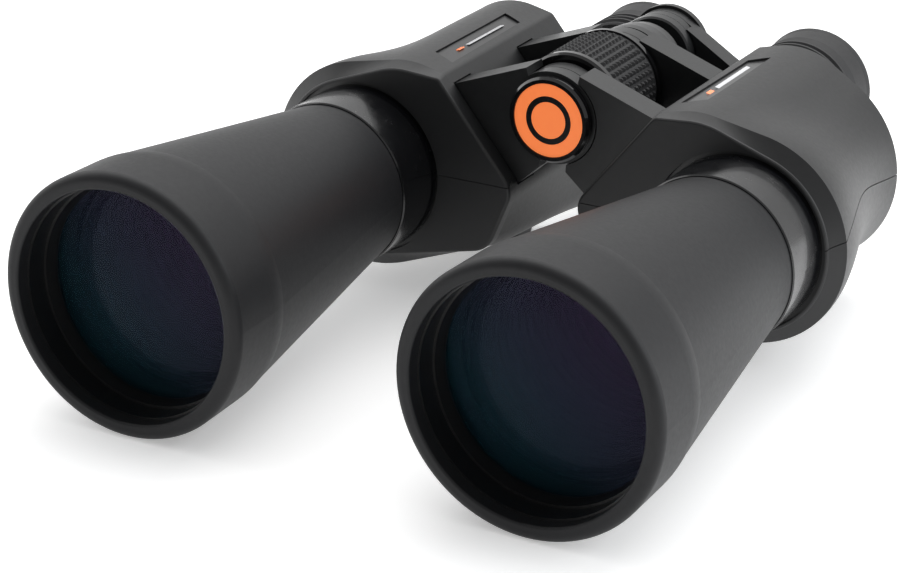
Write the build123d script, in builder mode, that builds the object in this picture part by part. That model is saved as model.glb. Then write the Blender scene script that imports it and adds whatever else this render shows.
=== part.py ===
from build123d import *
from math import acos, atan2, cos, hypot, radians, sin, sqrt
import os

# Large centre-focus Porro-prism binoculars for astronomy, standing on their front bells.
# Frame: +Z up, -Y towards the objectives, +Y towards the eyecups, +X the user's left.
# Origin: the centre of the outline, on the ground. Millimetres.
# Each half is drawn for the user's left (+X) and turned over with side = -1 for the right.

SIDES = {"left": 1, "right": -1}

# --- driving dimensions -------------------------------------------------------------
LENGTH = 280.0
FRONT_Y = -LENGTH / 2
REAR_Y = LENGTH / 2
OBJECTIVE_X = 67.9
OBJECTIVE_Z = 42.0
HINGE_Z = 69.0
EYE_X = 32.5
EYE_Z = 45.0
BELL_R = 42.0
LENS_R = 36.0
COLLAR_R = 28.0
SHAFT_R = 7.0
EYE_TUBE_R = 13.6
GUIDE_R = 12.0
RUNNING = 0.05
CLEAR = 0.3

HOUSING_FRONT_Y = -3.0
HOUSING_REAR_Y = 75.0
ARMOUR_T = 1.8
CASTING_T = 1.6
SEAM_GAP = 0.3

# --- plane and profile helpers ------------------------------------------------------


def at_y(y):
    """The plane across the optical axes at y, with its local x and y along X and Z."""
    return Plane.XZ.offset(-y)


def turned(x, z, profile, mode=Mode.ADD):
    """Revolve a closed (radius, y) outline about the line along Y through (x, z)."""
    with BuildSketch(Plane(origin=(x, 0, z), x_dir=(1, 0, 0), z_dir=(0, 0, 1))) as outline:
        with BuildLine():
            Polyline(*profile, close=True)
        make_face()
    revolve(outline.sketch, axis=Axis((x, 0, z), (0, 1, 0)), mode=mode)


def disc(x, z, radius, y_from, y_to, mode=Mode.ADD):
    """A round bar along Y."""
    with BuildSketch(at_y(y_from)) as face:
        with Locations((x, z)):
            Circle(radius)
    extrude(face.sketch, amount=y_from - y_to, mode=mode)


def slab(points, y_from, y_to, mode=Mode.ADD, grow=0.0):
    """A flat plate with a polygon outline in (x, z), thick along Y, grown all round."""
    with BuildSketch(at_y(y_from)) as face:
        with BuildLine():
            Polyline(*points, close=True)
        make_face()
        if grow:
            offset(amount=grow, kind=Kind.INTERSECTION, mode=Mode.REPLACE)
    extrude(face.sketch, amount=y_from - y_to, mode=mode)


def belt(circles):
    """The corners of the closed belt round circles given anticlockwise as (x, z, r)."""
    normals = []
    for (x0, z0, r0), (x1, z1, r1) in zip(circles, circles[1:] + circles[:1]):
        span = hypot(x1 - x0, z1 - z0)
        normals.append(atan2(z1 - z0, x1 - x0) - acos((r0 - r1) / span))
    corners = []
    for index, (x, z, r) in enumerate(circles):
        start = normals[index - 1]
        turn = (normals[index] - start) % radians(360)
        angles = [start, start + turn / 2, start + turn]
        corners.append([(x + r * cos(a), z + r * sin(a)) for a in angles])
    return corners


def belt_face(y, circles, side):
    """A sketch at y inside the belt round the circles."""
    corners = [[(side * x, z) for x, z in arc] for arc in belt(circles)]
    with BuildSketch(at_y(y)) as face:
        with BuildLine():
            for arc, following in zip(corners, corners[1:] + corners[:1]):
                ThreePointArc(*arc)
                Line(arc[2], following[0])
        make_face()
    return face.sketch


# --- the housing's form -------------------------------------------------------------
# Each station is a belt round five circles: the outer round, the top, the ridge beside
# the hinge, the inner flank and the lower flank.

TOP = (52.0, 53.7, 26.6)
RIDGE = (39.8, 75.9, 2.4)
FLANK = (20.2, 42.5, 8.0)
LOWER = (28.0, 30.5, 10.5)
STATIONS = {
    1.5: [(67.9, 42.0, 35.0), TOP, RIDGE, FLANK, LOWER],
    28.0: [(64.5, 42.0, 32.2), TOP, RIDGE, FLANK, (29.0, 28.0, 12.0)],
    50.0: [(60.0, 42.4, 31.0), (51.8, 54.3, 26.0), RIDGE, FLANK, (30.0, 26.5, 13.0)],
    64.0: [(56.3, 42.0, 33.0), (51.6, 55.2, 25.2), RIDGE, FLANK, (30.5, 25.5, 14.0)],
    HOUSING_REAR_Y: [(54.5, 41.6, 34.8), (51.5, 56.0, 24.5), RIDGE, FLANK, (31.0, 24.5, 15.0)],
}
RIM = [(67.9, 42.0, 30.6), (52.0, 52.2, 26.4), (39.6, 75.3, 2.4), FLANK, LOWER]
RIM_ROUND_R = 0.9


def shrink(circles, inset):
    """The same belt moved in by inset; small circles also step towards the middle."""
    smaller = []
    for x, z, r in circles:
        lack = max(0.0, inset - r + 0.4)
        reach = hypot(54.0 - x, 45.0 - z)
        step = 1.15 * lack / max(reach, 1.0)
        smaller.append((x + (54.0 - x) * step, z + (45.0 - z) * step, max(r - inset, 0.4)))
    return smaller


def housing_form(side, inset, y_front, y_rear):
    """The housing's outer form as a solid, moved in by inset, between two planes."""
    faces = [belt_face(y, shrink(circles, inset), side) for y, circles in STATIONS.items()]
    rims = []
    for angle in (0, 30, 60, 90):
        lack = RIM_ROUND_R * (1 - sin(radians(angle)))
        y = HOUSING_FRONT_Y + RIM_ROUND_R * (1 - cos(radians(angle)))
        rims.append(belt_face(y, shrink(RIM, inset + lack), side))
    with BuildPart() as form:
        loft(faces)
        loft([*rims, faces[0]], ruled=True)
        with BuildSketch(at_y(y_front)) as kept:
            Rectangle(400, 400)
        extrude(kept.sketch, amount=y_front - y_rear, mode=Mode.INTERSECT)
    return form.part


# --- hinge arms ---------------------------------------------------------------------
FRONT_ARM = (3.2, 13.5)
REAR_ARM = (45.3, 55.5)
KNUCKLE_R = 15.4
ARM_OUTLINE = [
    (9.5, 84.3), (37.0, 74.2), (38.0, 66.0), (17.0, 42.5), (12.6, 44.5), (4.8, 51.5), (6.0, 69.0),
]
# Knuckle spans along the shaft; in each pair the right half's is the front one.
KNUCKLES = {"right": ((3.2, 8.2), (45.3, 50.2)), "left": ((8.5, 13.5), (50.5, 55.5))}

# --- small features of the housing --------------------------------------------------
# Posts for the rear cover's screws, (x, z), standing against the casting's wall.
POSTS = [(57.0, 72.8), (82.2, 46.4), (64.1, 15.3), (23.6, 22.0)]
POST_R = 3.4
SCREW_R = 1.45
# The name plate's outline (x, y) in its sloping pocket on top of the armour.
PLATE_OUTLINE = [(41.2, 11.0), (49.4, 13.8), (49.4, 61.0), (42.2, 58.6)]
PLATE_X = 45.3
PLATE_Z = 78.35
PLATE_SLOPE = radians(10.4)
PLATE_T = 0.5
# The moulded pad under each housing that the rear of the binoculars rests on.
PAD_X, PAD_Y, PAD_LENGTH, PAD_WIDTH = 55.0, 62.0, 18.0, 26.0


def under_parting(shift):
    """Everything under the armour's parting line, which runs in a shallow S wave."""
    wave = [(-5.0, 43.2), (1.5, 47.0), (18.0, 50.3), (36.0, 49.8), (55.0, 46.0), (77.0, 42.4)]
    line = [(y, z + shift) for y, z in wave]
    with BuildSketch(Plane.YZ) as under:
        with BuildLine():
            Spline(*line)
            Polyline(line[-1], (77, -5), (-5, -5), line[0])
        make_face()
    return under.sketch


def plate_pocket(side, shrunk):
    """The name plate's outline on the floor of its pocket."""
    floor = Plane(
        origin=(side * PLATE_X, 0, PLATE_Z),
        x_dir=(cos(PLATE_SLOPE), 0, side * sin(PLATE_SLOPE)),
        z_dir=(-side * sin(PLATE_SLOPE), 0, cos(PLATE_SLOPE)),
    )
    with BuildSketch(floor) as outline:
        with BuildLine():
            Polyline(*[(side * (x - PLATE_X), y) for x, y in PLATE_OUTLINE], close=True)
        make_face()
        if shrunk:
            offset(amount=-shrunk, mode=Mode.REPLACE)
    return outline.sketch


def make_housing(name, side):
    """The cast prism housing with its front and rear hinge arms."""
    casting = housing_form(side, ARMOUR_T, HOUSING_FRONT_Y + ARMOUR_T, HOUSING_REAR_Y - COVER_T)
    inner_t = ARMOUR_T + CASTING_T
    cavity = housing_form(side, inner_t, HOUSING_FRONT_Y + inner_t, HOUSING_REAR_Y)
    other = "left" if name == "right" else "right"
    with BuildPart() as housing:
        add(casting)
        for y_from, y_to in (FRONT_ARM, REAR_ARM):
            slab([(side * x, z) for x, z in ARM_OUTLINE], y_from, y_to)
        for y_from, y_to in KNUCKLES[other]:
            disc(0, HINGE_Z, KNUCKLE_R + 0.4, y_from - CLEAR, y_to + CLEAR, Mode.SUBTRACT)
        for y_from, y_to in KNUCKLES[name]:
            disc(0, HINGE_Z, KNUCKLE_R, y_from, y_to)
        bore = SHAFT_R if name == "right" else SHAFT_R + RUNNING
        disc(0, HINGE_Z, bore, 0, 60, Mode.SUBTRACT)
        add(cavity, mode=Mode.SUBTRACT)
        disc(side * OBJECTIVE_X, OBJECTIVE_Z, COLLAR_NECK_R, -5, 10, Mode.SUBTRACT)
        for x, z in POSTS:
            disc(side * x, z, POST_R, 58, HOUSING_REAR_Y - COVER_T)
            disc(side * x, z, SCREW_R, 60, HOUSING_REAR_Y, Mode.SUBTRACT)
    return housing.part


def make_armour(name, side, upper):
    """One half of the moulded rubber skin, cut at the parting line."""
    skin = housing_form(side, 0, HOUSING_FRONT_Y, HOUSING_REAR_Y)
    core = housing_form(side, ARMOUR_T, HOUSING_FRONT_Y + ARMOUR_T, HOUSING_REAR_Y)
    with BuildPart() as armour:
        add(skin)
        if not upper:
            with BuildSketch() as pad:
                with Locations((side * PAD_X, PAD_Y)):
                    RectangleRounded(PAD_WIDTH, PAD_LENGTH, 5)
            extrude(pad.sketch, amount=12, taper=-12)
        add(core, mode=Mode.SUBTRACT)
        disc(side * OBJECTIVE_X, OBJECTIVE_Z, HOUSING_MOUTH_R, -5, 3, Mode.SUBTRACT)
        for y_from, y_to in (FRONT_ARM, REAR_ARM):
            notch = [(side * x, z) for x, z in ARM_OUTLINE]
            slab(notch, y_from - 0.4, y_to + 0.4, Mode.SUBTRACT, grow=0.4)
        if upper:
            extrude(under_parting(SEAM_GAP / 2), amount=120, both=True, mode=Mode.SUBTRACT)
            extrude(plate_pocket(side, 0), amount=5, mode=Mode.SUBTRACT)
        else:
            extrude(under_parting(-SEAM_GAP / 2), amount=120, both=True, mode=Mode.INTERSECT)
    return armour.part


def make_name_plate(name, side):
    """A blank plate let into the top of the armour."""
    with BuildPart() as plate:
        extrude(plate_pocket(side, 0.2), amount=PLATE_T)
    return plate.part


# --- barrel -------------------------------------------------------------------------
BELL_END_Y = -119.5
CONE_Y = -113.5
BARREL_REAR_Y = -22.3
BELL_REAR_R = 41.5
CONE_R = 40.6
BARREL_REAR_R = 27.3
RUBBER_T = 2.1
TUBE_T = 1.8
MOUTH_R = 36.8
LIP_R = 3.0
CELL_Y = -135.0
COLLAR_NECK_R = 26.0
HOUSING_MOUTH_R = 29.4
NECK_R = 24.4
CELL_BORE_R = 36.2
LENS_EDGE_Y = -122.5
CROWN_EDGE_T = 2.6
CROWN_FRONT_R = 171.0
CROWN_REAR_R = 118.0
FLINT_EDGE_T = 8.0
FLINT_REAR_R = 600.0


def cone_r(y, inset=0.0):
    """The barrel's outer radius at y, along the cone."""
    return BARREL_REAR_R - inset + (CONE_R - BARREL_REAR_R) * (BARREL_REAR_Y - y) / (BARREL_REAR_Y - CONE_Y)


def make_barrel_armour(name, side):
    """The rubber sleeve: a nearly straight bell with a rounded lip, then a long cone."""
    lip = LIP_R * (1 - sqrt(0.5))
    with BuildPart() as sleeve:
        with BuildSketch(Plane(origin=(side * OBJECTIVE_X, 0, OBJECTIVE_Z), x_dir=(1, 0, 0), z_dir=(0, 0, 1))):
            with BuildLine():
                Line((MOUTH_R, CELL_Y), (MOUTH_R, FRONT_Y + 0.8))
                ThreePointArc((MOUTH_R, FRONT_Y + 0.8), (MOUTH_R + 0.24, FRONT_Y + 0.24), (MOUTH_R + 0.8, FRONT_Y))
                Line((MOUTH_R + 0.8, FRONT_Y), (BELL_R - LIP_R, FRONT_Y))
                ThreePointArc((BELL_R - LIP_R, FRONT_Y), (BELL_R - lip, FRONT_Y + lip), (BELL_R, FRONT_Y + LIP_R))
                Line((BELL_R, FRONT_Y + LIP_R), (BELL_REAR_R, BELL_END_Y))
                ThreePointArc((BELL_REAR_R, BELL_END_Y), (41.22, -116.4), (CONE_R, CONE_Y))
                Line((CONE_R, CONE_Y), (BARREL_REAR_R, BARREL_REAR_Y))
                Polyline(
                    (BARREL_REAR_R, BARREL_REAR_Y),
                    (BARREL_REAR_R - RUBBER_T, BARREL_REAR_Y),
                    (CONE_R - RUBBER_T, CONE_Y),
                    (BELL_REAR_R - RUBBER_T, BELL_END_Y),
                    (BELL_REAR_R - RUBBER_T, CELL_Y),
                    (MOUTH_R, CELL_Y),
                )
            make_face()
        revolve(axis=Axis((side * OBJECTIVE_X, 0, OBJECTIVE_Z), (0, 1, 0)))
    return sleeve.part


def on_barrel(side, profile):
    """A turned piece on the objective's axis."""
    with BuildPart() as piece:
        turned(side * OBJECTIVE_X, OBJECTIVE_Z, profile)
    return piece.part


def make_objective_tube(name, side):
    """The metal barrel tube under the rubber, with the neck that the collar holds."""
    outer = RUBBER_T
    inner = RUBBER_T + TUBE_T
    return on_barrel(side, [
        (BELL_REAR_R - outer, CELL_Y),
        (BELL_REAR_R - outer, BELL_END_Y),
        (CONE_R - outer, CONE_Y),
        (BARREL_REAR_R - outer, BARREL_REAR_Y),
        (NECK_R, BARREL_REAR_Y),
        (NECK_R, -3.0),
        (NECK_R - TUBE_T, -3.0),
        (NECK_R - TUBE_T, BARREL_REAR_Y - 2.0),
        (cone_r(BARREL_REAR_Y - 2.0, inner), BARREL_REAR_Y - 2.0),
        (CONE_R - inner, CONE_Y),
        (BELL_REAR_R - inner, BELL_END_Y),
        (BELL_REAR_R - inner, CELL_Y),
    ])


def make_objective_cell(name, side):
    """The ring that holds the objective lens in the front of the tube."""
    outer = BELL_REAR_R - RUBBER_T - TUBE_T
    seat_y = LENS_EDGE_Y + CROWN_EDGE_T + FLINT_EDGE_T
    seat_r = LENS_R - 1.5
    return on_barrel(side, [
        (CELL_BORE_R, CELL_Y),
        (outer, CELL_Y),
        (outer, BELL_END_Y),
        (CONE_R - RUBBER_T - TUBE_T, CONE_Y),
        (cone_r(seat_y + 2, RUBBER_T + TUBE_T), seat_y + 2),
        (seat_r, seat_y + 2),
        (seat_r, seat_y + 0.12),
        (LENS_R + RUNNING, seat_y + 0.12),
        (LENS_R + RUNNING, LENS_EDGE_Y),
        (CELL_BORE_R, LENS_EDGE_Y),
    ])


def make_retaining_ring(name, side):
    """The threaded ring that presses the lens into its cell, bevelled inside."""
    return on_barrel(side, [
        (CELL_BORE_R, LENS_EDGE_Y - 0.32),
        (CELL_BORE_R, LENS_EDGE_Y - 5.0),
        (CELL_BORE_R - 0.7, LENS_EDGE_Y - 5.0),
        (LENS_R - 1.4, LENS_EDGE_Y - 1.0),
        (LENS_R - 1.4, LENS_EDGE_Y - 0.32),
    ])


def lens(side, x, z, radius, edge_front, edge_rear, front_r, rear_r):
    """A lens between two edge planes; a surface bulges forward where its radius is positive."""

    def bow(y, curve, at):
        depth = abs(curve) - sqrt(curve**2 - radius**2)
        full = abs(curve) - sqrt(curve**2 - (radius * at) ** 2)
        return y - (depth - full) * (1 if curve > 0 else -1)

    with BuildPart() as glass:
        with BuildSketch(Plane(origin=(side * x, 0, z), x_dir=(1, 0, 0), z_dir=(0, 0, 1))):
            with BuildLine():
                front = [(radius * at, bow(edge_front, front_r, at)) for at in (0, 0.5, 1)]
                rear = [(radius * at, bow(edge_rear, rear_r, at)) for at in (0, 0.5, 1)]
                ThreePointArc(*front)
                Line(front[2], rear[2])
                ThreePointArc(*rear)
                Line(rear[0], front[0])
            make_face()
        revolve(axis=Axis((side * x, 0, z), (0, 1, 0)))
    return glass.part


def make_crown(name, side):
    """The front, biconvex element of the objective."""
    rear = LENS_EDGE_Y + CROWN_EDGE_T
    return lens(side, OBJECTIVE_X, OBJECTIVE_Z, LENS_R, LENS_EDGE_Y, rear, CROWN_FRONT_R, -CROWN_REAR_R)


def make_flint(name, side):
    """The rear element, cemented to the crown."""
    front = LENS_EDGE_Y + CROWN_EDGE_T
    rear = front + FLINT_EDGE_T
    return lens(side, OBJECTIVE_X, OBJECTIVE_Z, LENS_R, front, rear, -CROWN_REAR_R, -FLINT_REAR_R)


def make_baffle_tube(name, side):
    """The ringed inner tube whose ridges stop stray light."""
    y_front, y_rear, count = -108.5, -26.0, 24
    pitch = (y_rear - y_front) / count
    inset = RUBBER_T + TUBE_T
    wall = []
    for index in range(count):
        y = y_front + pitch * index
        wall.append((cone_r(y, inset) - 2.4, y))
        wall.append((cone_r(y + pitch * 0.3, inset) - 2.4, y + pitch * 0.3))
        wall.append((cone_r(y + pitch * 0.4, inset) - 1.0, y + pitch * 0.4))
        wall.append((cone_r(y + pitch * 0.95, inset) - 1.0, y + pitch * 0.95))
    outer = [(cone_r(y_rear, inset), y_rear), (cone_r(y_front, inset), y_front)]
    return on_barrel(side, wall + outer)


def make_collar(name, side):
    """The polished ring that joins the barrel to the housing by its threaded neck."""
    return on_barrel(side, [
        (NECK_R, BARREL_REAR_Y),
        (COLLAR_R - 0.4, BARREL_REAR_Y),
        (COLLAR_R, BARREL_REAR_Y + 0.4),
        (COLLAR_R, HOUSING_FRONT_Y + ARMOUR_T),
        (COLLAR_NECK_R, HOUSING_FRONT_Y + ARMOUR_T),
        (COLLAR_NECK_R, 5.0),
        (NECK_R, 5.0),
    ])


# --- prisms -------------------------------------------------------------------------
# The rear prism takes the beam from the objective's axis; the front prism, turned by a
# right angle, passes it on to the eyepiece. Each moves it sideways by half its face.
SHELF_FRONT_Y = 33.0
SHELF_REAR_Y = 36.0
OFFSET = hypot(OBJECTIVE_X - EYE_X, EYE_Z - OBJECTIVE_Z) / sqrt(2)
OFFSET_ANGLE = atan2(EYE_Z - OBJECTIVE_Z, EYE_X - OBJECTIVE_X)
REAR_ANGLE = OFFSET_ANGLE - radians(45)
FRONT_ANGLE = OFFSET_ANGLE + radians(45)
MIDDLE_X = OBJECTIVE_X + OFFSET * cos(REAR_ANGLE)
MIDDLE_Z = OBJECTIVE_Z + OFFSET * sin(REAR_ANGLE)
PRISM_WIDTH = 20.0
PRISM_TRIM_R = 20.5
LIGHT_R = 10.8


def prism_plane(side, first, second, y, toward):
    """A plane across a prism, with its local x along the long face, centred on it."""
    x, z = (first[0] + second[0]) / 2, (first[1] + second[1]) / 2
    along = Vector(side * (second[0] - first[0]), 0, second[1] - first[1]).normalized()
    return Plane(origin=(side * x, y, z), x_dir=along, z_dir=along.cross(Vector(0, toward, 0)))


def prism_places(side):
    """The planes of the front and rear prisms."""
    objective, middle, eye = (OBJECTIVE_X, OBJECTIVE_Z), (MIDDLE_X, MIDDLE_Z), (EYE_X, EYE_Z)
    return {
        "rear": (prism_plane(side, objective, middle, SHELF_REAR_Y, 1), 1),
        "front": (prism_plane(side, middle, eye, SHELF_FRONT_Y, -1), -1),
    }


def make_prism(side, which):
    """A right-angle prism with rounded ends, lying on the shelf."""
    plane, toward = prism_places(side)[which]
    half = OFFSET
    with BuildPart() as prism:
        with BuildSketch(plane) as triangle:
            with BuildLine():
                Polyline((-half, 0), (half, 0), (0, half), close=True)
            make_face()
        extrude(amount=PRISM_WIDTH / 2, both=True)
        y_face = plane.origin.Y
        y_top = y_face + toward * (half - 1.0)
        disc(plane.origin.X, plane.origin.Z, PRISM_TRIM_R, y_face, y_top, Mode.INTERSECT)
    return prism.part


def make_prism_clips(name, side):
    """The two spring straps that hold the prisms down on the shelf."""
    reach = OFFSET - 4.0
    low, high = OFFSET + 0.2, OFFSET + 0.9
    with BuildPart() as clips:
        for plane, _ in prism_places(side).values():
            with BuildSketch(plane):
                with BuildLine():
                    Polyline(
                        (-reach, low - reach), (0, low), (reach, low - reach),
                        (reach, high - reach), (0, high), (-reach, high - reach), close=True,
                    )
                make_face()
            extrude(amount=2.5, both=True)
    return clips.part


def make_shelf(name, side):
    """The plate across the casting that carries both prisms, with its three light holes."""
    slice_part = housing_form(side, ARMOUR_T + CASTING_T, SHELF_FRONT_Y, SHELF_REAR_Y)
    with BuildPart() as shelf:
        add(slice_part)
        for x, z in ((OBJECTIVE_X, OBJECTIVE_Z), (MIDDLE_X, MIDDLE_Z), (EYE_X, EYE_Z)):
            disc(side * x, z, LIGHT_R, 30, 40, Mode.SUBTRACT)
    return shelf.part


# --- rear cover and its screws ------------------------------------------------------
COVER_T = 2.0
LUG_X, LUG_Z = 79.6, 29.5
GUIDE_END_Y = 97.0


def make_rear_cover(name, side):
    """The plate that closes the housing, with the eyepiece guide and the strap lug."""
    plate = housing_form(side, ARMOUR_T, HOUSING_REAR_Y - COVER_T, HOUSING_REAR_Y)
    with BuildPart() as cover:
        add(plate)
        disc(side * EYE_X, EYE_Z, GUIDE_R, HOUSING_REAR_Y - COVER_T, GUIDE_END_Y)
        disc(side * EYE_X, EYE_Z, GUIDE_R - 1.6, 70, GUIDE_END_Y, Mode.SUBTRACT)
        for x, z in POSTS:
            disc(side * x, z, SCREW_R + 0.15, 70, 80, Mode.SUBTRACT)
        with BuildSketch(Plane.YZ.offset(side * LUG_X)) as lug:
            with Locations((HOUSING_REAR_Y + 4.0, LUG_Z)):
                Rectangle(10, 15)
            fillet(lug.vertices().group_by(Axis.Y)[-1], 3)
            with Locations((HOUSING_REAR_Y + 4.4, LUG_Z)):
                RectangleRounded(4.8, 9.4, 1, mode=Mode.SUBTRACT)
        extrude(amount=2, both=True)
    return cover.part


def make_cover_screws(name, side):
    """The four pan-head screws of the rear cover."""
    with BuildPart() as screws:
        for x, z in POSTS:
            disc(side * x, z, SCREW_R, 62, HOUSING_REAR_Y)
            disc(side * x, z, 2.7, HOUSING_REAR_Y, HOUSING_REAR_Y + 1.3)
            for angle in (0, 90):
                with Locations(Location((side * x, HOUSING_REAR_Y + 1.3, z), (0, angle, 0))):
                    Box(3.0, 1.4, 0.6, mode=Mode.SUBTRACT)
    return screws.part


# --- hinge and focus ----------------------------------------------------------------
CAP_R = 14.3
BADGE_R = 12.2
CAP_FRONT_Y = 0.0
CAP_GAP = 0.15
BADGE_Y = (0.3, 1.0)
SHAFT_END_Y = 70.0
SOCKET_R = 2.55
SOCKET_DEPTH = 12.0
WHEEL_Y = (15.0, 44.0)
WHEEL_R = 18.3
GRIP_BASE_R = 15.6
NUT_R = 9.1
SCREW_BAR_R = 4.15
SLOT_HALF = 2.3
KEY_Y = (25.0, 33.0)
HUB_R = 13.2
HUB_FLANGE_R = 14.2
SPINDLE_R = 6.0
ARM_Y = (80.0, 87.2)
RIGHT_KNUCKLE = (80.0, 83.45)
LEFT_KNUCKLE = (83.65, 87.1)


def on_hinge(profile):
    """A turned piece on the hinge's axis."""
    with BuildPart() as piece:
        turned(0, HINGE_Z, profile)
    return piece.part


def make_cap():
    """The front cap that covers the tripod socket, with a shallow seat for its badge."""
    return on_hinge([
        (0, BADGE_Y[1]),
        (BADGE_R + 0.1, BADGE_Y[1]),
        (BADGE_R + 0.1, CAP_FRONT_Y),
        (CAP_R - 0.8, CAP_FRONT_Y),
        (CAP_R, CAP_FRONT_Y + 0.8),
        (CAP_R, FRONT_ARM[0] - CAP_GAP),
        (0, FRONT_ARM[0] - CAP_GAP),
    ])


def make_badge():
    """The coloured disc let into the cap."""
    front, rear = BADGE_Y
    return on_hinge([(0, front), (BADGE_R, front), (BADGE_R, rear), (0, rear)])


def make_shaft():
    """The hinge shaft: tripod socket in front, slotted tube for the focus screw behind."""
    front = FRONT_ARM[0]
    with BuildPart() as shaft:
        turned(0, HINGE_Z, [
            (SOCKET_R, front),
            (SHAFT_R, front),
            (SHAFT_R, SHAFT_END_Y),
            (SCREW_BAR_R + RUNNING, SHAFT_END_Y),
            (SCREW_BAR_R + RUNNING, front + SOCKET_DEPTH + 2),
            (0, front + SOCKET_DEPTH + 2),
            (0, front + SOCKET_DEPTH),
            (SOCKET_R, front + SOCKET_DEPTH),
        ])
        with Locations((0, (WHEEL_Y[0] + WHEEL_Y[1]) / 2 + 1.5, HINGE_Z)):
            Box(40, 21, 2 * SLOT_HALF, mode=Mode.SUBTRACT)
    return shaft.part


def make_focus_screw():
    """The sliding bar whose threaded key meets the wheel's thread through the slots."""
    with BuildPart() as screw:
        disc(0, HINGE_Z, NUT_R - 0.25, *KEY_Y)
        with Locations((0, sum(KEY_Y) / 2, HINGE_Z)):
            Box(40, KEY_Y[1] - KEY_Y[0], 2 * SLOT_HALF - 0.2, mode=Mode.INTERSECT)
        disc(0, HINGE_Z, SCREW_BAR_R, KEY_Y[0] - 1, 84)
    return screw.part


def make_wheel():
    """The focus wheel's core, running on the shaft, threaded inside."""
    front, rear = WHEEL_Y
    bore = SHAFT_R + RUNNING
    return on_hinge([
        (bore, front + 2.0),
        (10.5, front + 2.0),
        (10.5, front + 3.4),
        (GRIP_BASE_R - 1.6, front + 3.4),
        (GRIP_BASE_R - 1.2, front),
        (WHEEL_R - 0.9, front),
        (WHEEL_R - 0.2, front + 0.7),
        (WHEEL_R - 0.2, front + 2.4),
        (GRIP_BASE_R, front + 2.4),
        (GRIP_BASE_R, rear - 1.6),
        (WHEEL_R - 0.2, rear - 1.6),
        (WHEEL_R - 0.2, rear),
        (bore, rear),
        (bore, rear - 2.4),
        (NUT_R, rear - 2.4),
        (NUT_R, front + 4.6),
        (bore, front + 4.6),
    ])


def make_grip():
    """The wheel's rubber grip, ribbed along its length."""
    front, rear = WHEEL_Y[0] + 2.4, WHEEL_Y[1] - 1.6
    with BuildPart() as grip:
        disc(0, HINGE_Z, WHEEL_R, front, rear)
        with BuildSketch(at_y(front)) as grooves:
            with Locations((0, HINGE_Z)):
                with PolarLocations(WHEEL_R + 0.2, 32):
                    Rectangle(1.4, 1.4, rotation=45)
        extrude(grooves.sketch, amount=front - rear, mode=Mode.SUBTRACT)
        disc(0, HINGE_Z, GRIP_BASE_R, front, rear, Mode.SUBTRACT)
    return grip.part


def make_tail():
    """The rounded end cap of the hinge, behind the rear arms."""
    return on_hinge([
        (SHAFT_R, 57.0), (15.0, 57.0), (15.0, 60.0), (14.4, 65.0), (13.2, 70.0), (12.0, 71.5),
        (SCREW_BAR_R + 0.2, 71.5), (SCREW_BAR_R + 0.2, SHAFT_END_Y), (SHAFT_R, SHAFT_END_Y),
    ])


def make_hub():
    """The hub that carries both eyepiece arms on the focus bar."""
    return on_hinge([
        (SCREW_BAR_R, 76.0), (HUB_R - 0.6, 76.0), (HUB_R, 76.6), (HUB_R, ARM_Y[0] - 0.1),
        (SPINDLE_R, ARM_Y[0] - 0.1), (SPINDLE_R, ARM_Y[1] + 0.1), (HUB_FLANGE_R, ARM_Y[1] + 0.1),
        (HUB_FLANGE_R, 89.4), (HUB_FLANGE_R - 1.0, 90.4), (0, 90.4), (0, 84.0), (SCREW_BAR_R, 84.0),
    ])


def make_bridge_arm(name, side):
    """The arm from the hub to one eyepiece; the two knuckles lie one behind the other."""
    own, other = (RIGHT_KNUCKLE, LEFT_KNUCKLE) if name == "right" else (LEFT_KNUCKLE, RIGHT_KNUCKLE)
    outline = belt_face(ARM_Y[0], [(0, HINGE_Z, HUB_R), (EYE_X, EYE_Z, 16.0)], side)
    limit = radians(10)
    beyond = [
        (0, HINGE_Z),
        (side * 60 * sin(limit), HINGE_Z - 60 * cos(limit)),
        (-side * 60, HINGE_Z - 60 * cos(limit)),
        (-side * 60, HINGE_Z + 40),
        (0, HINGE_Z + 40),
    ]
    with BuildPart() as arm:
        extrude(outline, amount=ARM_Y[0] - ARM_Y[1])
        slab(beyond, ARM_Y[0], ARM_Y[1], Mode.SUBTRACT)
        disc(0, HINGE_Z, HUB_R + 0.4, other[0] - 0.2, other[1] + 0.2, Mode.SUBTRACT)
        disc(0, HINGE_Z, HUB_R + 0.02, ARM_Y[0], ARM_Y[1], Mode.SUBTRACT)
        disc(0, HINGE_Z, HUB_R + 0.02, *own)
        disc(0, HINGE_Z, SPINDLE_R + (0 if name == "right" else RUNNING), 79, 90, Mode.SUBTRACT)
        disc(side * EYE_X, EYE_Z, EYE_TUBE_R, 79, 90, Mode.SUBTRACT)
    return arm.part


# --- eyepieces ----------------------------------------------------------------------
EYE_TUBE_BORE = GUIDE_R + RUNNING
EYE_TUBE_Y = (79.6, 111.8)
RING_Y = (98.0, 108.0)
RING_R = 18.6
SLEEVE_Y = 104.0
BODY_Y = 114.0
BODY_R = 17.0
BODY_REAR_Y = 128.0
EYE_LENS_R = 12.0
FIELD_LENS_R = 9.8
CUP_R = 20.6
CUP_Y = 114.6


def on_eyepiece(side, profile):
    """A turned piece on the eyepiece's axis."""
    with BuildPart() as piece:
        turned(side * EYE_X, EYE_Z, profile)
    return piece.part


def make_eye_tube(name, side):
    """The sliding tube of one eyepiece."""
    return on_eyepiece(side, [
        (EYE_TUBE_BORE, EYE_TUBE_Y[0]),
        (EYE_TUBE_R, EYE_TUBE_Y[0]),
        (EYE_TUBE_R, EYE_TUBE_Y[1]),
        (EYE_TUBE_BORE, EYE_TUBE_Y[1]),
    ])


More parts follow.
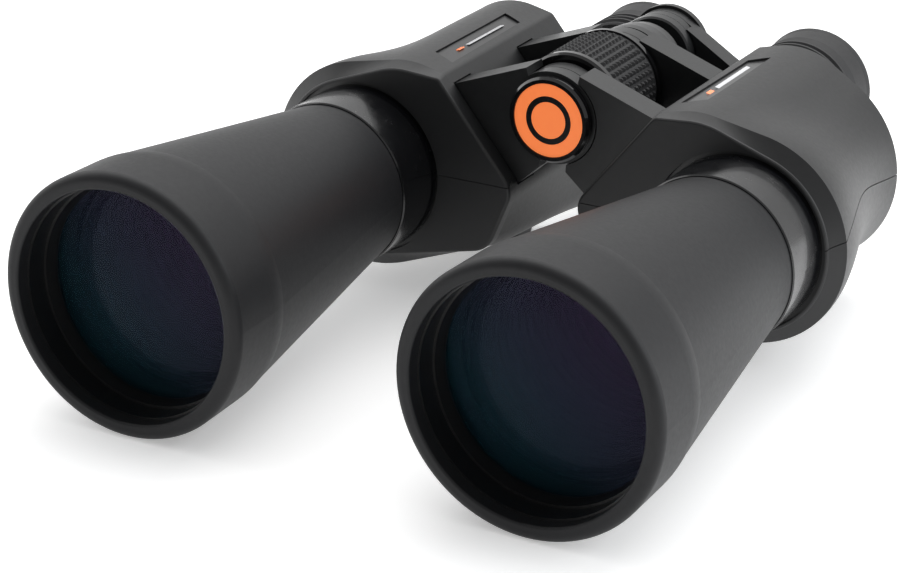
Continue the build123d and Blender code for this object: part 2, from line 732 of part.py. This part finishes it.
def make_ring(name, side):
    """The ring round one eyepiece: it sets the dioptre on the right, and is plain on the left."""
    bore = EYE_TUBE_R + (RUNNING if name == "right" else 0)
    y_from, y_to = RING_Y
    with BuildPart() as ring:
        turned(side * EYE_X, EYE_Z, [
            (bore, y_from), (RING_R - 0.8, y_from), (RING_R, y_from + 0.8), (RING_R, y_to - 0.8),
            (RING_R - 0.8, y_to), (bore, y_to),
        ])
        if name == "right":
            with BuildSketch(at_y(y_from + 3)) as notches:
                with Locations((side * EYE_X, EYE_Z)):
                    with PolarLocations(RING_R + 0.3, 30):
                        Circle(0.8)
            extrude(notches.sketch, amount=y_from + 3 - y_to, mode=Mode.SUBTRACT)
    return ring.part


def make_eye_body(name, side):
    """The ocular's body, whose sleeve slides in the tube, with pockets for two lenses."""
    stop_r = FIELD_LENS_R - 0.8
    return on_eyepiece(side, [
        (stop_r, SLEEVE_Y),
        (GUIDE_R, SLEEVE_Y),
        (GUIDE_R, BODY_Y),
        (BODY_R, BODY_Y),
        (BODY_R, BODY_REAR_Y - 0.6),
        (BODY_R - 0.6, BODY_REAR_Y),
        (EYE_LENS_R + 1.0, BODY_REAR_Y),
        (EYE_LENS_R, BODY_REAR_Y - 1.6),
        (EYE_LENS_R, 118.0),
        (FIELD_LENS_R, 118.0),
        (FIELD_LENS_R, SLEEVE_Y + 0.8),
        (stop_r, SLEEVE_Y + 0.8),
    ])


def make_eye_lenses(name, side):
    """The field lens and the eye lens of one eyepiece."""
    field = lens(side, EYE_X, EYE_Z, FIELD_LENS_R, 107.0, 109.0, 45.0, -45.0)
    eye = lens(side, EYE_X, EYE_Z, EYE_LENS_R, 120.5, 123.5, 60.0, -40.0)
    with BuildPart() as lenses:
        add(field)
        add(eye)
    return lenses.part


def make_eyecup(name, side):
    """The fold-down rubber eyecup, ribbed outside, open behind the eye lens."""
    ribs = []
    for y in (116.5, 119.7, 122.9):
        ribs += [(CUP_R - 1.4, y), (CUP_R - 0.5, y + 0.5), (CUP_R - 0.5, y + 1.5), (CUP_R - 1.4, y + 2.0)]
    return on_eyepiece(side, [
        (BODY_R, CUP_Y),
        (CUP_R - 2.0, CUP_Y),
        (CUP_R - 1.4, CUP_Y + 0.6),
        *ribs,
        (CUP_R - 1.4, 126.0),
        (CUP_R - 0.6, 129.0),
        (CUP_R - 0.4, 136.5),
        (CUP_R, 138.4),
        (CUP_R - 0.5, 139.7),
        (CUP_R - 1.2, REAR_Y),
        (CUP_R - 2.2, 139.4),
        (CUP_R - 2.6, 138.0),
        (CUP_R - 2.8, 130.0),
        (CUP_R - 3.4, 129.2),
        (EYE_LENS_R + 2.0, 129.2),
        (EYE_LENS_R + 2.0, BODY_REAR_Y),
        (BODY_R - 0.6, BODY_REAR_Y),
        (BODY_R, BODY_REAR_Y - 0.6),
    ])


# --- write the parts ----------------------------------------------------------------
PER_SIDE = {
    "prism_housing": make_housing,
    "armour_upper": lambda name, side: make_armour(name, side, True),
    "armour_lower": lambda name, side: make_armour(name, side, False),
    "name_plate": make_name_plate,
    "barrel_armour": make_barrel_armour,
    "objective_tube": make_objective_tube,
    "objective_cell": make_objective_cell,
    "retaining_ring": make_retaining_ring,
    "objective_crown": make_crown,
    "objective_flint": make_flint,
    "baffle_tube": make_baffle_tube,
    "barrel_collar": make_collar,
    "prism_front": lambda name, side: make_prism(side, "front"),
    "prism_rear": lambda name, side: make_prism(side, "rear"),
    "prism_clips": make_prism_clips,
    "prism_shelf": make_shelf,
    "rear_cover": make_rear_cover,
    "cover_screws": make_cover_screws,
    "bridge_arm": make_bridge_arm,
    "eye_tube": make_eye_tube,
    "eye_body": make_eye_body,
    "eye_lenses": make_eye_lenses,
    "eyecup": make_eyecup,
}
RING_NAMES = {"left": "eyepiece_ring_left", "right": "dioptre_ring_right"}
CENTRE = {
    "tripod_cap": make_cap,
    "cap_badge": make_badge,
    "hinge_shaft": make_shaft,
    "focus_screw": make_focus_screw,
    "focus_wheel": make_wheel,
    "wheel_grip": make_grip,
    "hinge_tail": make_tail,
    "bridge_hub": make_hub,
}


def write(label, made):
    """Label a finished part and write its STEP file."""
    made.label = label
    export_step(made, f"parts/{label}.step")


os.makedirs("parts", exist_ok=True)
for name, side in SIDES.items():
    for kind, make in PER_SIDE.items():
        write(f"{kind}_{name}", make(name, side))
    write(RING_NAMES[name], make_ring(name, side))
for label, make in CENTRE.items():
    write(label, make())
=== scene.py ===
import math

import bmesh
import bpy
from mathutils import Matrix, Vector


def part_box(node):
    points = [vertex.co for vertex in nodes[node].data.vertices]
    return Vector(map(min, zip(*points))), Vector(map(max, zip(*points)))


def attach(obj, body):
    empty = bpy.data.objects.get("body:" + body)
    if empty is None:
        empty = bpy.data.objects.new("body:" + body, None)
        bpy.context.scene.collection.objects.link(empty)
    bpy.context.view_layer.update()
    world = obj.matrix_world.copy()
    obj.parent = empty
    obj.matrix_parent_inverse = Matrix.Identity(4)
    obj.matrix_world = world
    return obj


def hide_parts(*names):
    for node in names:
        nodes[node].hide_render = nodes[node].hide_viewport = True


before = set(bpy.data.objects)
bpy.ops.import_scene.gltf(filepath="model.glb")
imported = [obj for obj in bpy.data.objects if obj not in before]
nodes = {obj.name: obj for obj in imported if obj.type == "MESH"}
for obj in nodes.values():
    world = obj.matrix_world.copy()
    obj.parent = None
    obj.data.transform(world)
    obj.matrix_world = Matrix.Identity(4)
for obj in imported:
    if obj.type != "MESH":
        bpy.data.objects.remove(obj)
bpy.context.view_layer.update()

MM = 0.001
SIDES = ("left", "right")

# --- places read from the frame -----------------------------------------------------


def middle(node):
    """The centre of a CAD node's box."""
    lo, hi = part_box(node)
    return (lo + hi) / 2


hinge = middle("tripod_cap")
objectives = {side: middle(f"retaining_ring_{side}") for side in SIDES}
eyepieces = {side: middle(f"eye_tube_{side}") for side in SIDES}


# --- node materials -----------------------------------------------------------------


class Surface:
    """A principled material with a few helpers for its procedural detail."""

    def __init__(self, name, colour, roughness, **sockets):
        self.material = bpy.data.materials.new(name)
        self.material.use_nodes = True
        self.tree = self.material.node_tree
        self.shader = self.tree.nodes["Principled BSDF"]
        self.set("Base Color", (*colour, 1))
        self.set("Roughness", roughness)
        for socket, value in sockets.items():
            self.set(socket.replace("_", " "), value)
        self.place = self.tree.nodes.new("ShaderNodeTexCoord").outputs["Object"]
        self.normal = None

    def set(self, socket, value):
        self.shader.inputs[socket].default_value = value

    def node(self, kind, inputs=None, **settings):
        made = self.tree.nodes.new(kind)
        for key, value in settings.items():
            setattr(made, key, value)
        for key, value in (inputs or {}).items():
            if isinstance(value, bpy.types.NodeSocket):
                self.tree.links.new(value, made.inputs[key])
            else:
                made.inputs[key].default_value = value
        return made

    def noise(self, size, detail=3.0, roughness=0.5):
        """Noise whose features are about size metres across."""
        inputs = {"Vector": self.place, "Scale": 1 / size, "Detail": detail, "Roughness": roughness}
        return self.node("ShaderNodeTexNoise", inputs).outputs["Fac"]

    def cells(self, size):
        """Rounded grains about size metres across."""
        inputs = {"Vector": self.place, "Scale": 1 / size}
        return self.node("ShaderNodeTexVoronoi", inputs, feature="SMOOTH_F1").outputs["Distance"]

    def spread(self, source, low, high, start=0.3, end=0.7):
        """The source mapped to the range from low to high."""
        inputs = {"Value": source, "From Min": start, "From Max": end, "To Min": low, "To Max": high}
        return self.node("ShaderNodeMapRange", inputs).outputs["Result"]

    def bump(self, height, depth, strength=1.0):
        """Add relief of the given depth in metres to what is there."""
        inputs = {"Height": height, "Distance": depth, "Strength": strength}
        if self.normal:
            inputs["Normal"] = self.normal
        self.normal = self.node("ShaderNodeBump", inputs).outputs["Normal"]
        self.link(self.normal, "Normal")

    def tint(self, source, low, high, start=0.3, end=0.7):
        """Vary the colour between two tones."""
        fac = self.spread(source, 0, 1, start, end)
        ramp = self.node("ShaderNodeMix", {"Factor": fac}, data_type="RGBA")
        ramp.inputs["A"].default_value = (*low, 1)
        ramp.inputs["B"].default_value = (*high, 1)
        self.link(ramp.outputs["Result"], "Base Color")

    def vary_roughness(self, source, low, high):
        self.link(self.spread(source, low, high), "Roughness")

    def link(self, output, socket):
        self.tree.links.new(output, self.shader.inputs[socket])


def grained(name, dark, light, roughness, grain, depth, **sockets):
    """Moulded rubber or plastic: fine grain, faint mottling and uneven sheen."""
    made = Surface(name, light, roughness, **sockets)
    made.tint(made.noise(2.5 * MM, 5), dark, light)
    made.vary_roughness(made.noise(1.5 * MM, 4), roughness - 0.025, roughness + 0.025)
    made.bump(made.cells(grain), depth, 0.6)
    made.bump(made.noise(grain * 4), depth * 1.5, 0.35)
    return made.material


def polished(name, colour, roughness, wave, **sockets):
    """Polished or lacquered: a nearly flat surface with faint waviness and fine scuffs."""
    made = Surface(name, colour, roughness, **sockets)
    made.vary_roughness(made.noise(6 * MM, 6, 0.7), roughness * 0.7, roughness * 1.5)
    made.bump(made.noise(5 * MM, 2), wave, 0.3)
    made.bump(made.noise(0.25 * MM, 2), wave * 0.2, 0.25)
    return made.material


def turned_metal(name, colour, roughness, pitch, **sockets):
    """Lathe-turned metal: fine rings along Y."""
    made = Surface(name, colour, roughness, Metallic=1.0, **sockets)
    rings = made.node(
        "ShaderNodeTexWave",
        {"Vector": made.place, "Scale": 1 / (2 * math.pi * pitch), "Distortion": 0.4},
        bands_direction="Y",
    ).outputs["Fac"]
    made.bump(rings, 0.00001, 0.5)
    made.vary_roughness(made.noise(2 * MM, 4), roughness * 0.8, roughness * 1.3)
    return made.material


def coated_glass(name, centre, radius, opacity):
    """A multi-coated lens: clear, with the coating's reflection painted into its colour as a sweep from teal to
    violet across the lens.
    """
    made = Surface(name, (0.02, 0.03, 0.06), 0.02, Alpha=opacity, IOR=1.3)
    made.set("Specular Tint", (0.5, 0.62, 1.0, 1))
    across = made.node("ShaderNodeSeparateXYZ", {"Vector": made.place})
    sideways = made.spread(across.outputs["X"], 0, 1, centre.x - radius, centre.x + radius)
    upward = made.spread(across.outputs["Z"], 0, 1, centre.z - radius, centre.z + radius)
    # painted reflection: the coating's teal-to-violet sheen laid into the base colour by place across the lens
    painted_reflection = made.node("ShaderNodeMath", {0: sideways, 1: upward}, operation="ADD").outputs["Value"]
    made.tint(painted_reflection, (0.006, 0.030, 0.040), (0.026, 0.010, 0.034), 0.55, 1.45)
    made.bump(made.noise(20 * MM, 1), 0.00002, 0.15)
    return made.material


# Moulded and anodised finishes: dark and light tone, roughness, grain and depth in mm, specular.
GRAINED = {
    "armour": ("moulded_rubber", (0.0105, 0.0108, 0.0115), (0.0125, 0.0128, 0.0135), 0.43, 0.42, 0.02, 0.42),
    "barrel": ("sleeve_rubber", (0.0095, 0.0098, 0.011), (0.0115, 0.0118, 0.013), 0.50, 0.30, 0.02, 0.26),
    "eyecup": ("soft_rubber", (0.010, 0.010, 0.011), (0.014, 0.014, 0.015), 0.58, 0.35, 0.03, 0.5),
    "casting": ("satin_casting", (0.0085, 0.009, 0.0095), (0.012, 0.0125, 0.013), 0.33, 0.55, 0.02, 0.5),
    "cover": ("rear_plate", (0.010, 0.0105, 0.011), (0.014, 0.0145, 0.015), 0.42, 0.50, 0.05, 0.5),
    "plate": ("plate_finish", (0.020, 0.020, 0.021), (0.026, 0.026, 0.027), 0.30, 0.30, 0.01, 0.5),
    "cell": ("anodised_cell", (0.004, 0.004, 0.0045), (0.007, 0.007, 0.0075), 0.38, 0.20, 0.01, 0.5),
    "baffle": ("baffle_black", (0.010, 0.012, 0.015), (0.016, 0.018, 0.022), 0.42, 0.40, 0.01, 0.5),
    "tube": ("satin_tube", (0.0085, 0.009, 0.0095), (0.011, 0.011, 0.012), 0.28, 0.20, 0.01, 0.5),
}
materials = {
    finish: grained(name, dark, light, roughness, grain * MM, depth * MM, Specular_IOR_Level=specular)
    for finish, (name, dark, light, roughness, grain, depth, specular) in GRAINED.items()
}
materials |= {
    "gloss": polished("gloss_black", (0.004, 0.004, 0.0045), 0.13, 0.00003, Coat_Weight=0.5),
    "collar": polished("collar_black", (0.004, 0.0042, 0.005), 0.2, 0.00002, Coat_Weight=0.3),
    "metal": turned_metal("bright_steel", (0.62, 0.62, 0.64), 0.26, 0.25 * MM),
    "screw": turned_metal("black_screw", (0.06, 0.06, 0.065), 0.35, 0.2 * MM),
    "prism": Surface("prism_glass", (0.75, 0.85, 0.82), 0.02, Alpha=0.35, IOR=1.6).material,
}

NODE_FINISH = {
    "armour_upper": "armour",
    "armour_lower": "armour",
    "barrel_armour": "barrel",
    "eyecup": "eyecup",
    "prism_housing": "casting",
    "bridge_arm": "casting",
    "bridge_hub": "casting",
    "hinge_tail": "casting",
    "rear_cover": "cover",
    "barrel_collar": "collar",
    "tripod_cap": "gloss",
    "focus_wheel": "gloss",
    "name_plate": "plate",
    "objective_cell": "cell",
    "retaining_ring": "cell",
    "objective_tube": "tube",
    "baffle_tube": "baffle",
    "prism_shelf": "baffle",
    "eye_body": "tube",
    "eye_tube": "tube",
    "eyepiece_ring": "tube",
    "dioptre_ring": "tube",
    "hinge_shaft": "metal",
    "focus_screw": "metal",
    "prism_clips": "metal",
    "cover_screws": "screw",
    "prism_front": "prism",
    "prism_rear": "prism",
}


def finish_nodes():
    """Give each carried-over CAD node its material."""
    for kind, finish in NODE_FINISH.items():
        for name, node in nodes.items():
            if name == kind or name in (f"{kind}_left", f"{kind}_right"):
                node.data.materials.clear()
                node.data.materials.append(materials[finish])


def glaze(kind, centres, radius, opacity):
    """Give the lenses of both sides their coating."""
    for side, centre in centres.items():
        lens = nodes[f"{kind}_{side}"]
        lens.data.materials.clear()
        lens.data.materials.append(coated_glass(f"{kind}_coating_{side}", centre, radius, opacity))


# --- mesh pieces --------------------------------------------------------------------


def piece(name, mesh, finish, body, smooth=True):
    """Turn a bmesh into an object that rides on a body."""
    data = bpy.data.meshes.new(name)
    bmesh.ops.recalc_face_normals(mesh, faces=mesh.faces)
    mesh.to_mesh(data)
    mesh.free()
    made = bpy.data.objects.new(name, data)
    bpy.context.scene.collection.objects.link(made)
    data.materials.append(finish)
    for face in data.polygons:
        face.use_smooth = smooth
    if smooth:
        data.set_sharp_from_angle(angle=math.radians(32))
    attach(made, body)
    return made


def spun(profile, centre, steps=128):
    """A solid of revolution about the line along Y through the centre, from (radius, y)."""
    mesh = bmesh.new()
    rings = []
    for radius, y in profile:
        if radius == 0:
            rings.append([mesh.verts.new((centre.x, y, centre.z))])
            continue
        ring = []
        for step in range(steps):
            angle = 2 * math.pi * step / steps
            place = (centre.x + radius * math.sin(angle), y, centre.z + radius * math.cos(angle))
            ring.append(mesh.verts.new(place))
        rings.append(ring)
    for one, two in zip(rings, rings[1:] + rings[:1]):
        if len(one) == 1 and len(two) == 1:
            continue
        for step in range(steps):
            after = (step + 1) % steps
            corners = [one[step % len(one)], one[after % len(one)], two[after % len(two)], two[step % len(two)]]
            unique = list(dict.fromkeys(corners))
            if len(unique) > 2:
                mesh.faces.new(unique)
    return mesh


STUD_ROWS = 44
STUDS_PER_ROW = 10
STUD_RISE = 0.85 * MM
STUD_TOP = 0.22
STUD_SINK = 0.15 * MM
STUD_FILL_Y = 0.86
STUD_FILL_ROUND = 0.80
GRIP_T = 1.6 * MM
GRIP_BAND = 1.1 * MM


def studded_grip():
    """The wheel's rubber grip: rows of small pyramids round a sleeve."""
    lo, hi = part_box("wheel_grip")
    radius = (hi.x - lo.x) / 2 - 0.05 * MM
    base = radius - STUD_RISE
    inner = base - GRIP_T
    sleeve = [(inner, lo.y), (base, lo.y), (base, hi.y), (inner, hi.y)]
    mesh = spun(sleeve, hinge, STUD_ROWS * 2)
    pitch = (hi.y - lo.y - 2 * GRIP_BAND) / STUDS_PER_ROW
    half_y = pitch * STUD_FILL_Y / 2
    half_turn = math.pi / STUD_ROWS * STUD_FILL_ROUND
    for row in range(STUD_ROWS):
        angle = 2 * math.pi * row / STUD_ROWS
        for index in range(STUDS_PER_ROW):
            y = lo.y + GRIP_BAND + pitch * (index + 0.5)
            foot, top = [], []
            for dy, turn in ((-1, -1), (1, -1), (1, 1), (-1, 1)):
                for ring, height, share in ((foot, base - STUD_SINK, 1.0), (top, radius, STUD_TOP)):
                    at = angle + half_turn * turn * share
                    x = hinge.x + height * math.sin(at)
                    z = hinge.z + height * math.cos(at)
                    ring.append(mesh.verts.new((x, y + half_y * dy * share, z)))
            mesh.faces.new(top)
            mesh.faces.new(foot)
            for corner in range(4):
                after = (corner + 1) % 4
                mesh.faces.new((foot[corner], foot[after], top[after], top[corner]))
    grip = piece("focus_grip", mesh, materials["eyecup"], "focus_wheel", smooth=False)
    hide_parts("wheel_grip")


def plain_paint(name, colour, roughness, painted_glow=0.0):
    """Printed ink under clear lacquer; the glow is painted light that makes the ink look brighter than the
    lamps light it.
    """
    made = Surface(name, colour, roughness, Coat_Weight=0.8, Coat_Roughness=0.06)
    made.set("Emission Color", (*colour, 1))
    # painted light: emission in the ink's own colour, so it shines brighter than the lamps make it
    made.set("Emission Strength", painted_glow)
    shade = tuple(value * 0.93 for value in colour)
    made.tint(made.noise(3 * MM, 3), shade, colour)
    made.bump(made.noise(0.5 * MM, 2), 0.00001, 0.3)
    return made.material


ORANGE = (1.0, 0.242, 0.068)
BADGE_CHAMFER = 0.06 * MM
paints = {
    # the orange ink carries a painted glow of 0.5, lifting the badge and short stripe brighter than the lamps
    # light them
    "orange": plain_paint("orange_ink", ORANGE, 0.3, 0.5),
    "black": plain_paint("black_ink", (0.006, 0.006, 0.006), 0.25),
    "pale": plain_paint("pale_ink", (0.72, 0.72, 0.74), 0.35),
}


def badge():
    """The cap's disc: plain orange with a black ring near its edge."""
    lo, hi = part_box("cap_badge")
    radius = (hi.x - lo.x) / 2
    front, rear = lo.y, hi.y
    bands = (
        ("badge_centre", 0.0, 0.50, "orange"),
        ("badge_ring", 0.50, 0.66, "black"),
        ("badge_edge", 0.66, 1.0, "orange"),
    )
    for name, start, end, ink in bands:
        inside, outside = radius * start, radius * end
        profile = [
            (inside, rear),
            (inside, front),
            (outside - BADGE_CHAMFER, front),
            (outside, front + BADGE_CHAMFER),
            (outside, rear),
        ]
        made = piece(name, spun(profile, hinge, 96), paints[ink], "tripod_cap")
        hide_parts("cap_badge")


PLATE_SLOPE = math.radians(10.4)
STRIPE_WIDTH = 1.5 * MM
STRIPE_T = 0.12 * MM
STRIPE_RISE = 0.46 * MM


def plate_stripe(side):
    """A plain two-tone stripe along a blank plate."""
    name = f"name_plate_{side}"
    lo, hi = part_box(name)
    sign = 1 if side == "left" else -1
    slope = sign * PLATE_SLOPE
    middle_x, middle_z = (lo.x + hi.x) / 2, (lo.z + hi.z) / 2
    length = hi.y - lo.y
    for label, start, end, ink in (("short", 0.20, 0.30, "orange"), ("long", 0.33, 0.84, "pale")):
        mesh = bmesh.new()
        bmesh.ops.create_cube(mesh, size=1)
        size = Vector((STRIPE_WIDTH, length * (end - start), STRIPE_T))
        bmesh.ops.scale(mesh, vec=size, verts=mesh.verts)
        upright = [
            edge for edge in mesh.edges
            if abs(edge.verts[0].co.z - edge.verts[1].co.z) > STRIPE_T / 2
        ]
        bmesh.ops.bevel(mesh, geom=upright, offset=STRIPE_WIDTH * 0.49, segments=6, affect="EDGES")
        turn = Matrix.Rotation(slope, 4, "Y")
        middle_y = lo.y + length * (start + end) / 2
        shift = Vector((middle_x, middle_y, middle_z)) + turn @ Vector((0, 0, STRIPE_RISE))
        bmesh.ops.transform(mesh, matrix=Matrix.Translation(shift) @ turn, verts=mesh.verts)
        piece(f"plate_stripe_{label}_{side}", mesh, paints[ink], f"{side}_half")


# --- camera, floor and lights -------------------------------------------------------

CAMERA_AZIMUTH = 29.99
CAMERA_ELEVATION = 22.62
CAMERA_DISTANCE = 0.8361
CAMERA_ROLL = -0.33
TARGET = Vector((0.0447, -0.140, 0.0722))
LENS = 122.5


def make_camera():
    """The camera, by its bearing round the object."""
    azimuth, elevation = math.radians(CAMERA_AZIMUTH), math.radians(CAMERA_ELEVATION)
    back = Vector((
        math.sin(azimuth) * math.cos(elevation),
        -math.cos(azimuth) * math.cos(elevation),
        math.sin(elevation),
    ))
    data = bpy.data.cameras.new("camera")
    data.lens = LENS
    data.sensor_width = 36
    camera = bpy.data.objects.new("camera", data)
    bpy.context.scene.collection.objects.link(camera)
    turn = (-back).to_track_quat("-Z", "Y").to_matrix().to_4x4()
    roll = Matrix.Rotation(math.radians(CAMERA_ROLL), 4, "Z")
    camera.matrix_world = Matrix.Translation(TARGET + back * CAMERA_DISTANCE) @ turn @ roll
    bpy.context.scene.camera = camera


def softbox(name, place, target, width, depth, power, colour=(1, 1, 1)):
    """A rectangular area light aimed at a point."""
    data = bpy.data.lights.new(name, "AREA")
    data.shape = "RECTANGLE"
    data.size, data.size_y = width, depth
    data.energy = power
    data.color = colour
    light = bpy.data.objects.new(name, data)
    bpy.context.scene.collection.objects.link(light)
    light.location = place
    light.rotation_mode = "QUATERNION"
    light.rotation_quaternion = (Vector(target) - Vector(place)).to_track_quat("-Z", "Y")


def make_world():
    """Soft grey surroundings, brighter overhead and behind than in front."""
    world = bpy.data.worlds.new("studio")
    bpy.context.scene.world = world
    world.use_nodes = True
    tree = world.node_tree
    place = tree.nodes.new("ShaderNodeTexCoord").outputs["Generated"]
    split = tree.nodes.new("ShaderNodeSeparateXYZ")
    tree.links.new(place, split.inputs["Vector"])
    ramp = tree.nodes.new("ShaderNodeMapRange")
    ramp.inputs["From Min"].default_value = -0.9
    ramp.inputs["From Max"].default_value = 0.6
    ramp.inputs["To Min"].default_value = 0.3
    ramp.inputs["To Max"].default_value = 1.0
    tree.links.new(split.outputs["Y"], ramp.inputs["Value"])
    background = tree.nodes["Background"]
    background.inputs["Color"].default_value = (1, 1, 1, 1)
    tree.links.new(ramp.outputs["Result"], background.inputs["Strength"])


def make_floor():
    """The plain pale floor."""
    mesh = bmesh.new()
    bmesh.ops.create_grid(mesh, x_segments=1, y_segments=1, size=4)
    data = bpy.data.meshes.new("floor")
    mesh.to_mesh(data)
    mesh.free()
    floor = bpy.data.objects.new("floor", data)
    bpy.context.scene.collection.objects.link(floor)
    paper = Surface("floor_paper", (0.93, 0.93, 0.93), 0.85, Specular_IOR_Level=0.1)
    paper.set("Emission Color", (1, 1, 1, 1))
    paper.set("Emission Strength", 0.35)
    paper.tint(paper.noise(0.4, 2), (0.925, 0.925, 0.925), (0.935, 0.935, 0.935))
    data.materials.append(paper.material)


# --- the scene ----------------------------------------------------------------------

OBJECTIVE_R = 36 * MM
EYE_LENS_R = 12 * MM
AIM = (0.0, 0.0, 0.05)

finish_nodes()
glaze("objective_crown", objectives, OBJECTIVE_R, 0.30)
glaze("objective_flint", objectives, OBJECTIVE_R, 0.08)
glaze("eye_lenses", eyepieces, EYE_LENS_R, 0.45)
studded_grip()
badge()
for side in SIDES:
    plate_stripe(side)
make_camera()
make_world()
make_floor()
softbox("overhead", (-0.10, 0.45, 1.15), AIM, 1.6, 1.2, 11.0)
softbox("left_side", (-1.1, 0.1, 0.6), AIM, 0.9, 0.9, 3.0)
softbox("right_side", (1.05, 0.25, 0.45), AIM, 0.8, 1.2, 7.0, (0.94, 0.97, 1.0))
view = bpy.context.scene.view_settings
view.view_transform = "Standard"
view.look = "None"
